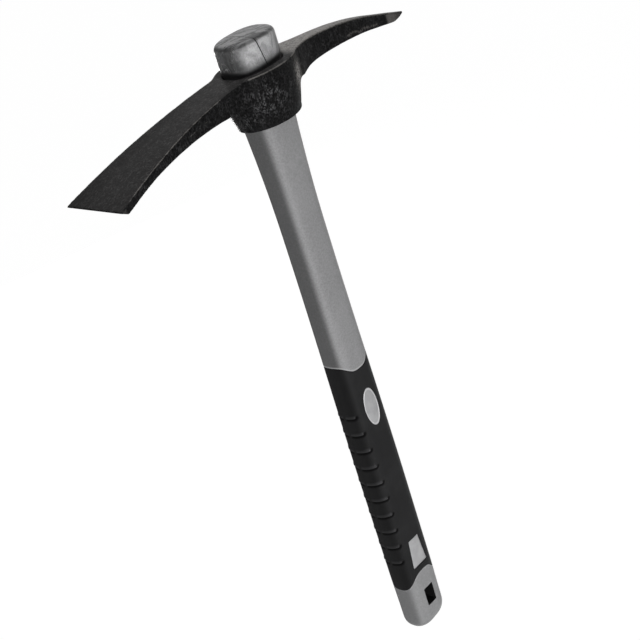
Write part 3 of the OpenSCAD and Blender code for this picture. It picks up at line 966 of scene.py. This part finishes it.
def edge_marks(x, y, drop, parts, s):
    """Where the coating is worn off edges, and along a crease in the adze's near side."""
    above, below, side, ends, boss, _, bore = parts
    d = np.abs(x)
    free = rise(boss - 0.001, width=0.003) * rise(d - 0.026, width=0.016)
    free = free * np.where(y > 0, 0.45, 1) * rise(s.reach - d, width=0.012, least=0.35)
    crease = close_to(drop - np.interp(x, CREASE_X, CREASE_DROP), width=0.0009) * (y < 0)
    crease = crease * rise(x - CREASE_ENDS[0], width=0.008) * rise(CREASE_ENDS[1] - x, width=0.008)
    return np.maximum.reduce([
        on_edge(above, side, width=0.0011) * free,
        on_edge(below, side, width=0.0008) * free * 0.3,
        on_edge(above, boss, width=0.0015) * rise(side, width=0.0015) * 0.9,
        on_edge(above, bore, width=0.0009) * 0.6,
        close_to(ends, width=0.0012) * 0.3,
        crease * 0.6,
    ])


def ground_marks(x, above, s):
    """Where the coating is ground off the pick's point and the adze's bevel."""
    tip = rise(x - (s.pick_reach - 0.018), width=0.002)
    tip = tip * rise(s.pick_reach + 0.001 - x, width=0.012, least=0.3) * (above < -0.0007)
    bevel = rise(-x - (s.reach - s.bevel), width=0.0006) * (np.abs(above) > 0.0005)
    return np.maximum(tip, bevel * 0.25)


def head_marks(points, s, h):
    """Where the coating is worn off, ground off, rubbed, scratched or flecked, and where a highlight is
    painted on the boss, as masks from 0 to 1.
    """
    parts = head_parts(points.T, s, h)
    above = parts[0]
    x, y, z = points.T
    drop = h.seat_top - z
    rubbed = rise(x - 0.014, width=0.008) * np.clip(1.3 - np.abs(above) / 0.0006, 0, 1)
    # A painted highlight on the boss's near side by the pick's root
    patch = soft_spot(x, drop, (0.0172, 0.0123), (0.0038, 0.0065)) * rise(-y, width=0.004)
    scratch = close_to(drop - np.interp(x, SCRATCH_X, SCRATCH_DROP), width=0.001)
    scratch = scratch * (x > SCRATCH_ENDS[0]) * (x < SCRATCH_ENDS[1]) * (y < 0)
    boss_spot = soft_spot(x, drop, (-0.010, 0.0143), (0.011, 0.009))
    low_spot = soft_spot(x, drop, (-0.020, 0.0263), (0.004, 0.005))
    return {
        "edge_wear": edge_marks(x, y, drop, parts, s),
        "ground": ground_marks(x, above, s),
        "rubbed": rubbed * np.clip(1 - (x - 0.05) / 0.09, 0.35, 1),
        # Scratch on the pick and painted highlight on the boss
        "scratch_and_highlight": np.clip(np.maximum(patch * 1.5, scratch * 0.3), 0, 1),
        "flecked": np.clip(boss_spot + low_spot * 0.5, 0, 1),
    }


class MATTOCK_OT_forged_head(bpy.types.Operator):
    """Builds the forged head: adze, boss with its eye and collar, and pick"""
    bl_idname = "mattock.forged_head"
    bl_label = "Forged Head"

    def execute(self, context):
        s, h = context.scene.mattock_head, context.scene.mattock_handle

        def field(p):
            """The head's field at points."""
            return head_field(p, s, h)

        margin = 0.0018
        low = [-s.reach - margin, -s.edge_width / 2 - margin, h.seat_foot - margin]
        high = [s.reach + margin, s.edge_width / 2 + margin, h.seat_top + margin]
        points, faces = surface_net(field, low, high, s.cell)
        # Three steps down the slope bring the points onto the surface
        least_slope = 0.2
        for _ in range(3):
            slope = slope_of(field, points)
            steep = np.maximum((slope ** 2).sum(1), least_slope)
            move = slope * (field(points.T) / steep)[:, None]
            points = points - np.clip(move, -s.cell, s.cell)
        box_low, box_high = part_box("pick_head")
        points = np.clip(points, np.array(box_low), np.array(box_high))
        material = get_finish(forged_skin, context.scene)
        piece = make_piece("forged_head", points, faces, material, sharp=70.0)
        for name, values in head_marks(points, s, h).items():
            paint(piece, name, values)
        seat_piece(piece, "head", "forged_steel", "pick_head")
        return {"FINISHED"}


# Handle pieces: lips at their edges, gaps between them, and rounded corners

JACKET_LIP = 0.00045
GRIP_LIP = 0.0004
CAP_LIP = 0.0003
CORE_GAP = 0.00005
EDGE_GAP = 0.00006
WINDOW_CORNER = 0.0009
HOLE_CORNER = 0.0007


class MATTOCK_OT_moulded_jacket(bpy.types.Operator):
    """Builds the grey moulding: knob, seat, neck and the core under the grip"""
    bl_idname = "mattock.moulded_jacket"
    bl_label = "Moulded Jacket"

    def execute(self, context):
        h = context.scene.mattock_handle
        lip, core = JACKET_LIP, h.grip_wall + CORE_GAP
        support, spacing = 0.002, 0.004
        edge = h.grip_top - h.top_dip * edge_wave(ANGLES, h)
        rings = [ring(h.cap_seat, core, h), ring(edge - support, core, h), ring(edge, core, h)]
        rings += [ring(edge, lip, h), ring(edge + lip * 0.25, lip * 0.35, h), ring(edge + lip, 0, h)]
        bead = len(rings)
        rings += [ring(edge + lip * 2, 0, h), ring(edge + lip * 3, 0, h)]
        # Above the wavy edge the rings grow level
        level = h.grip_top + 0.03
        rings += [ring(mix(edge + lip * 3, level, t), 0, h) for t in np.linspace(0, 1, 11)[1:]]
        rings += [ring(z, 0, h) for z in np.arange(level, h.seat_top, spacing)[1:]]
        shoulder = h.tool - h.knob_crown - h.knob_round
        rings += [ring(z, 0, h) for z in np.linspace(h.seat_top, shoulder, 14)]
        for t in np.linspace(0, math.pi / 2, 10)[1:]:
            rings.append(ring(shoulder + h.knob_round * math.sin(t), h.knob_round * (1 - math.cos(t)), h))
        flat = h.knob_width / 2 - h.knob_round
        for t in np.linspace(0, 1, 9)[1:-1]:
            rings.append(ring(h.tool - h.knob_crown * (1 - t) ** 2, h.knob_round + flat * t, h))
        skin = loft(rings, (0, 0, h.cap_seat), (0, 0, h.tool))
        piece = make_piece("moulded_jacket", *skin, get_finish(handle_plastic, context.scene))
        # The lip's rings get a painted highlight in the finish
        mark_rings(piece, "lip", range(bead - 3, bead + 1))
        seat_piece(piece, "handle", "grey_plastic", "handle_jacket")
        return {"FINISHED"}


def window_corners(g):
    """Corners of the window in the grip, in the XZ plane."""
    low, high = g.window_low, g.window_low + g.window_height
    foot, top = g.window_foot_width / 2, g.window_top_width / 2
    return [(-foot, low), (foot, low), (top, high), (-top, high)]


def badge_outline(g, count, gap):
    """Oval of the badge in the XZ plane, drawn in by a gap."""
    wide, high = g.badge_width / 2 - gap, g.badge_height / 2 - gap
    turns = np.linspace(0, 2 * math.pi, count, endpoint=False)
    return [(wide * math.cos(t), g.badge_at + high * math.sin(t)) for t in turns]


# Shares of the grip's height with the number of rings in each, closest where the ribs are
GRIP_ROWS = ((0.0, 0.06, 7), (0.06, 0.84, 339), (0.84, 1.0, 19))
RIB_INPUTS = (
    "Count", "Pitch", "First height", "Rib height", "Groove", "Rib width", "Wrap", "Bow", "Front",
    "Depth share")


def rib_tree():
    """Node tree that moulds finger ribs and a parting line into the skin of the grip."""
    tree = bpy.data.node_groups.new("Finger ribs", "GeometryNodeTree")
    tree.is_modifier = True
    kinds = {"Geometry": "NodeSocketGeometry", **dict.fromkeys(RIB_INPUTS, "NodeSocketFloat")}
    kinds["Material"] = "NodeSocketMaterial"
    keys = {}
    for name, kind in kinds.items():
        keys[name] = tree.interface.new_socket(name, in_out="INPUT", socket_type=kind).identifier
    tree.interface.new_socket("Geometry", in_out="OUTPUT", socket_type="NodeSocketGeometry")
    n = Nodes(tree)
    take = n.add("NodeGroupInput").outputs
    at = n.split(n.add("GeometryNodeInputPosition").outputs[0])
    skin = n.add("GeometryNodeInputNamedAttribute", {"Name": "skin"}, data_type="FLOAT").outputs[0]
    # The rib that is nearest below, and the height over its lower edge
    steps = n.ratio(n.minus(at["Z"], take["First height"]), take["Pitch"])
    last = n.minus(take["Count"], 1.0)
    rib = n.math("MINIMUM", n.most(n.math("FLOOR", n.plus(steps, 0.25)), 0.0), last)
    over = n.times(n.minus(steps, rib), take["Pitch"])
    # The ribs in the middle reach further round than those at the ends
    middle = n.times(last, 0.5)
    place = n.ratio(n.minus(rib, middle), middle)
    wrap = n.minus(take["Wrap"], n.times(take["Bow"], n.times(place, place)))
    past = n.times(n.minus(n.plus(at["X"], take["Front"]), wrap), 1.3)
    # Distance to the outline of a bar with a round end, in rib widths
    wide = take["Rib width"]
    radius = n.times(wide, 0.5)
    out = n.most(n.plus(past, radius), 0.0)
    up = n.minus(over, radius)
    edge = n.minus(n.math("SQRT", n.plus(n.times(out, out), n.times(up, up))), radius)
    edge = n.ratio(edge, wide)
    rows = n.ratio(over, wide)
    crest = n.times(n.ramp(edge, -0.3, 0.0, 1.0, 0.0), n.ramp(rows, 0.3, 1.1, 1.0, 0.0))
    ditch = n.ramp(n.size(n.minus(edge, 0.12)), 0.07, 0.36, 1.0, 0.0)
    ditch = n.times(ditch, n.ramp(rows, 0.35, 0.9, 1.0, 0.0))
    # The ribs fade out at the parting line, a fine ridge along the front and back
    beside = n.size(at["Y"])
    round_front = n.math("ARCTAN2", n.ratio(beside, take["Depth share"]), n.times(at["X"], -1.0))
    fade = n.ramp(round_front, 0.04, 0.16)
    lift = n.minus(n.times(crest, take["Rib height"]), n.times(ditch, take["Groove"]))
    ridge = n.times(n.ramp(beside, 0.0002, 0.0006, 1.0, 0.0), 0.00016)
    lift = n.times(n.plus(n.times(lift, fade), ridge), skin)
    normal = n.add("GeometryNodeInputNormal").outputs[0]
    move = n.add("ShaderNodeVectorMath", {0: normal, "Scale": lift}, operation="SCALE").outputs[0]
    marked = take["Geometry"]
    # Masks for the painted highlight on the rib crests and the painted shade in their grooves
    for name, mask in (("rib_crest_highlight", crest), ("rib_groove", ditch)):
        values = {"Geometry": marked, "Name": name, "Value": n.times(n.times(mask, fade), skin)}
        store = n.add("GeometryNodeStoreNamedAttribute", values, data_type="FLOAT", domain="POINT")
        marked = store.outputs[0]
    moved = n.add("GeometryNodeSetPosition", {"Geometry": marked, "Offset": move}).outputs[0]
    whole = n.add("GeometryNodeRealizeInstances", {0: moved}).outputs[0]
    painted = n.add("GeometryNodeSetMaterial", {"Geometry": whole, "Material": take["Material"]}).outputs[0]
    n.add("NodeGroupOutput", {0: painted})
    return tree, keys


class MATTOCK_OT_rubber_grip(bpy.types.Operator):
    """Builds the rubber grip with its windows and its finger ribs"""
    bl_idname = "mattock.rubber_grip"
    bl_label = "Rubber Grip"

    def execute(self, context):
        h, g = context.scene.mattock_handle, context.scene.mattock_grip
        material = get_finish(grip_rubber, context.scene)
        wave = edge_wave(ANGLES, h)
        top = h.grip_top - h.top_dip * wave - EDGE_GAP
        low = h.grip_low + h.low_rise * wave + EDGE_GAP
        lip = GRIP_LIP
        rings = [ring(low, h.grip_wall, h), ring(low, lip, h), ring(low + lip * 0.3, lip * 0.3, h)]
        first = len(rings)
        rows = [np.linspace(start, end, count, endpoint=False) for start, end, count in GRIP_ROWS]
        rings += [ring(mix(low + lip, top - lip, t), 0, h) for t in (*np.concatenate(rows), 1.0)]
        last = len(rings)
        rings += [ring(top - lip * 0.3, lip * 0.3, h), ring(top, lip, h), ring(top, h.grip_wall, h)]
        rings += [ring(mix(top, low, t), h.grip_wall, h) for t in np.linspace(0, 1, 9)[1:-1]]
        piece = make_piece("rubber_grip", *loft(rings, loop=True), material)
        # Only the outer skin carries ribs, short of its edges
        mark_rings(piece, "skin", range(first + 3, last - 3))
        tree, keys = rib_tree()
        modifier = piece.modifiers.new("Finger ribs", "NODES")
        modifier.node_group = tree
        sizes = (
            float(g.rib_count), g.rib_pitch, g.rib_first, g.rib_height, g.rib_groove, g.rib_width,
            g.rib_wrap, g.rib_bow, h.grip_width / 2, h.depth)
        for name, value in (*zip(RIB_INPUTS, sizes), ("Material", material)):
            modifier[keys[name]] = value
        apply_modifiers(piece)
        cut_through(piece, rounded_outline(window_corners(g), WINDOW_CORNER), h.grip_width)
        cut_through(piece, badge_outline(g, count=72, gap=0.0), h.grip_width)
        seat_piece(piece, "handle", "black_rubber", "grip_sleeve")
        return {"FINISHED"}


class MATTOCK_OT_butt_cap(bpy.types.Operator):
    """Builds the grey butt cap with its hanging hole"""
    bl_idname = "mattock.butt_cap"
    bl_label = "Butt Cap"

    def execute(self, context):
        h, g = context.scene.mattock_handle, context.scene.mattock_grip
        low = h.grip_low + h.low_rise * edge_wave(ANGLES, h)
        lip = CAP_LIP
        flat = h.butt_width / 2 - h.butt_round
        rings = [ring(0, h.butt_width / 2 - flat * t, h) for t in (0.3, 0.7)]
        radius = h.butt_round * (1 - h.front_round * np.maximum(-np.cos(ANGLES), 0))
        squarer = 0.8
        for t in np.linspace(0, math.pi / 2, 16):
            lift, draw = 1 - math.cos(t) ** squarer, 1 - math.sin(t) ** squarer
            rings.append(ring(radius * lift, radius * draw, h))
        rings += [ring(mix(radius, low - lip * 3, t), 0, h) for t in np.linspace(0, 1, 13)[1:]]
        bead = len(rings)
        rings += [ring(low - lip * 2, 0, h), ring(low - lip, 0, h)]
        rings += [ring(low - lip * 0.3, lip * 0.3, h), ring(low, lip, h), ring(low, h.grip_wall, h)]
        rings += [ring(h.cap_seat, h.grip_wall, h)]
        skin = loft(rings, (0, 0, 0), (0, 0, h.cap_seat))
        piece = make_piece("butt_end_cap", *skin, get_finish(cap_plastic, context.scene))
        # The lip's rings get a painted highlight in the finish
        mark_rings(piece, "lip", range(bead, bead + 4))
        half, foot, head = g.hole_width / 2, g.hole_low, g.hole_low + g.hole_height
        corners = [(-half, foot), (half, foot), (half, head), (-half, head)]
        cut_through(piece, rounded_outline(corners, HOLE_CORNER), h.grip_width)
        # Faces of the hole's walls, which get painted shade
        spots = np.zeros(len(piece.data.vertices) * 3, np.float32)
        piece.data.vertices.foreach_get("co", spots)
        x, _, z = spots.reshape(-1, 3).T
        margin = 0.0001
        in_hole = (np.abs(x) < half + margin) & (z > foot - margin) & (z < head + margin)
        walls = [all(in_hole[v] for v in face.vertices) for face in piece.data.polygons]
        paint(piece, "painted_hole_shade", walls, "FACE")
        seat_piece(piece, "handle", "light_grey_plastic", "butt_cap")
        return {"FINISHED"}


# Levels of the badge and of the window's pad, each a share of the outline and a height over the broad face
BADGE_RIM = (
    (1.0, -0.0001), (0.99, 0.00008), (0.97, 0.00013), (0.92, 0.00013), (0.895, 0.00006), (0.885, -0.00006))
BADGE_DISH = ((0.8, -0.00008), (0.6, -0.00006), (0.3, -0.00003), (0.1, -0.00002))
WINDOW_PAD = (
    (0.995, -0.0006), (0.985, -0.00042), (0.96, -0.00036), (0.8, -0.0003), (0.5, -0.00026), (0.2, -0.00025))
BADGE_BACK = 0.0008


def face_patch(name, outline, centre, levels, back, side, h, material):
    """A plate on a broad face: rings of an outline, each with its own share of size and its height."""
    outline, centre = np.array(outline), np.array(centre)
    rings = []
    for size, lift in ((levels[0][0], -back), *levels):
        x, z = (centre + (outline - centre) * size).T
        rings.append(np.stack([x, side * (face_depth(x, z, h) + lift), z], 1))
    middle = face_depth(*centre, h)
    base = (centre[0], side * (middle - back), centre[1])
    hub = (centre[0], side * (middle + levels[-1][1]), centre[1])
    points, faces = loft(rings, base, hub)
    if side > 0:
        faces = [f[::-1] for f in faces]
    return make_piece(name, points, faces, material, sharp=50.0)


class MATTOCK_OT_face_plates(bpy.types.Operator):
    """Builds the bare oval badge plates and the pads behind the grip's windows"""
    bl_idname = "mattock.face_plates"
    bl_label = "Badges and Windows"

    def execute(self, context):
        h, g = context.scene.mattock_handle, context.scene.mattock_grip
        silver = get_finish(badge_silver, context.scene)
        pad = get_finish(window_plastic, context.scene)
        oval = badge_outline(g, count=96, gap=EDGE_GAP)
        levels = BADGE_RIM + BADGE_DISH
        narrower = 0.985
        window = rounded_outline([(x * narrower, z) for x, z in window_corners(g)], WINDOW_CORNER)
        middle = (0.0, g.window_low + g.window_height / 2)
        deep = h.grip_wall * 0.9
        for word, side in (("near", -1), ("far", 1)):
            plate = face_patch(
                "badge_plate_" + word, oval, (0.0, g.badge_at), levels, BADGE_BACK, side, h, silver)
            mark_rings(plate, "rim", range(1, len(BADGE_RIM)), len(oval))
            seat_piece(plate, "handle", "badge_metal", "badge_" + word)
            show = face_patch("window_pad_" + word, window, middle, WINDOW_PAD, deep, side, h, pad)
            seat_piece(show, "handle", "grey_plastic")
        return {"FINISHED"}


class MATTOCK_OT_core_finish(bpy.types.Operator):
    """Gives the hidden core rod its fibreglass finish"""
    bl_idname = "mattock.core_finish"
    bl_label = "Core Finish"

    def execute(self, context):
        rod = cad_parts["core_rod"]
        rod.data.materials.clear()
        rod.data.materials.append(get_finish(core_fibre, context.scene))
        return {"FINISHED"}


# Studio: the camera's angles are its turn, rise and roll, and a lamp has a place, a size and a power

CAMERA_ANGLES = (-40.52, 26.55, -17.77)
CAMERA_TARGET = (-0.00904, 0.0, 0.23096)
CAMERA_DISTANCE = 0.82
SENSOR_WIDTH = 36.0
FOCUS_SHARE = 1427.0 / 640.0
WHITE = (1.0, 1.0, 1.0, 1.0)
SKY_LIGHT = 0.1
FLOOR_GREY = (0.6, 0.6, 0.6, 1.0)
FLOOR_GLOW = 1.06
GLOW_SHARE = 0.93
FLOOR_HALF = 4.0
# Just below the head when it has slid off the handle
FLOOR_HEIGHT = -0.049
LAMP_TARGET = (0.0, 0.0, 0.25)
LAMPS = (
    ("key", (-0.5, -0.81, 0.08), 0.3, 9.2),
    ("top", (0.0, -0.1, 1.25), 0.6, 4.6),
    ("back", (0.36, 0.93, 0.03), 0.3, 8.4),
)


def set_camera(scene):
    """Looks at the near broad face from the adze's side and from above."""
    turn, lift, roll = (math.radians(angle) for angle in CAMERA_ANGLES)
    back = Vector((math.sin(turn) * math.cos(lift), -math.cos(turn) * math.cos(lift), math.sin(lift)))
    level = Vector((math.cos(turn), math.sin(turn), 0.0))
    upright = back.cross(level)
    right = math.cos(roll) * level + math.sin(roll) * upright
    up = math.cos(roll) * upright - math.sin(roll) * level
    data = bpy.data.cameras.new("camera")
    data.sensor_width = SENSOR_WIDTH
    data.sensor_fit = "HORIZONTAL"
    data.lens = FOCUS_SHARE * SENSOR_WIDTH
    data.clip_start = 0.01
    camera = add_object("camera", data)
    place = Matrix.Translation(Vector(CAMERA_TARGET) + CAMERA_DISTANCE * back)
    camera.matrix_world = place @ Matrix((right, up, back)).transposed().to_4x4()
    scene.camera = camera


def seen_directly(n):
    """1 for what the camera sees itself or in a mirror or through glass."""
    path = n.add("ShaderNodeLightPath").outputs
    shown = n.most(path["Is Camera Ray"], path["Is Glossy Ray"])
    return n.most(shown, path["Is Transmission Ray"])


def set_world(scene):
    """A background that shows white and lights the tool only a little."""
    world = bpy.data.worlds.new("studio")
    n = clear_nodes(world)
    strength = n.ramp(seen_directly(n), 0.0, 1.0, SKY_LIGHT, 1.0, smooth=False)
    sky = n.add("ShaderNodeBackground", {"Color": WHITE, "Strength": strength})
    n.add("ShaderNodeOutputWorld", {"Surface": sky.outputs[0]})
    scene.world = world


def add_floor():
    """A wide floor that shows white with a faint shadow."""
    material = bpy.data.materials.new("studio_floor")
    n = clear_nodes(material)
    plain = n.add("ShaderNodeBsdfPrincipled", {"Base Color": FLOOR_GREY, "Roughness": 0.9})
    glow = n.add("ShaderNodeEmission", {"Color": WHITE, "Strength": FLOOR_GLOW})
    shown = n.times(seen_directly(n), GLOW_SHARE)
    white = n.add("ShaderNodeMixShader", {0: shown, 1: plain.outputs[0], 2: glow.outputs[0]})
    n.add("ShaderNodeOutputMaterial", {"Surface": white.outputs[0]})
    signs = ((-1, -1), (1, -1), (1, 1), (-1, 1))
    corners = [(x * FLOOR_HALF, y * FLOOR_HALF, FLOOR_HEIGHT) for x, y in signs]
    floor = make_piece("studio_floor", corners, [(0, 1, 2, 3)], material)


def add_lamps():
    """Round studio lights that face the middle of the tool."""
    target = Vector(LAMP_TARGET)
    for name, place, size, power in LAMPS:
        data = bpy.data.lights.new(name, "AREA")
        data.shape = "DISK"
        data.size = size
        data.energy = power
        lamp = add_object(name, data)
        lamp.location = place
        lamp.rotation_euler = (target - Vector(place)).to_track_quat("-Z", "Y").to_euler()


class MATTOCK_OT_studio(bpy.types.Operator):
    """Sets the camera, the white floor and background, and the studio lights"""
    bl_idname = "mattock.studio"
    bl_label = "Studio"

    def execute(self, context):
        context.scene.view_settings.view_transform = "Standard"
        set_camera(context.scene)
        set_world(context.scene)
        add_floor()
        add_lamps()
        return {"FINISHED"}


# Add-on

class MATTOCK_PT_panel(bpy.types.Panel):
    """Lists the mattock's pieces and settings"""
    bl_idname = "MATTOCK_PT_panel"
    bl_label = "Hand Pick Mattock"
    bl_space_type = "VIEW_3D"
    bl_region_type = "UI"
    bl_category = "Mattock"

    def draw(self, context):
        for operator in OPERATORS:
            self.layout.operator(operator.bl_idname)
        for group in GROUPS:
            settings = getattr(context.scene, group)
            column = self.layout.column(align=True)
            for name in type(settings).__annotations__:
                column.prop(settings, name)


OPERATORS = (
    MATTOCK_OT_forged_head, MATTOCK_OT_moulded_jacket, MATTOCK_OT_rubber_grip, MATTOCK_OT_butt_cap,
    MATTOCK_OT_face_plates, MATTOCK_OT_core_finish, MATTOCK_OT_studio,
)
GROUPS = {
    "mattock_handle": MattockHandleSizes, "mattock_grip": MattockGripSizes,
    "mattock_head": MattockHeadSizes, "mattock_colours": MattockColours,
}
CLASSES = (*GROUPS.values(), *OPERATORS, MATTOCK_PT_panel)


def register():
    """Makes the settings, operators and panel known to Blender."""
    for cls in CLASSES:
        bpy.utils.register_class(cls)
    for name, cls in GROUPS.items():
        setattr(bpy.types.Scene, name, bpy.props.PointerProperty(type=cls))


def unregister():
    """Takes the settings, operators and panel out again."""
    for name in GROUPS:
        delattr(bpy.types.Scene, name)
    for cls in reversed(CLASSES):
        bpy.utils.unregister_class(cls)


def main():
    """Builds every piece and the studio."""
    register()
    bpy.ops.mattock.forged_head()
    bpy.ops.mattock.moulded_jacket()
    bpy.ops.mattock.rubber_grip()
    bpy.ops.mattock.butt_cap()
    bpy.ops.mattock.face_plates()
    bpy.ops.mattock.core_finish()
    bpy.ops.mattock.studio()
    bpy.context.view_layer.update()


if __name__ == "__main__":
    main()
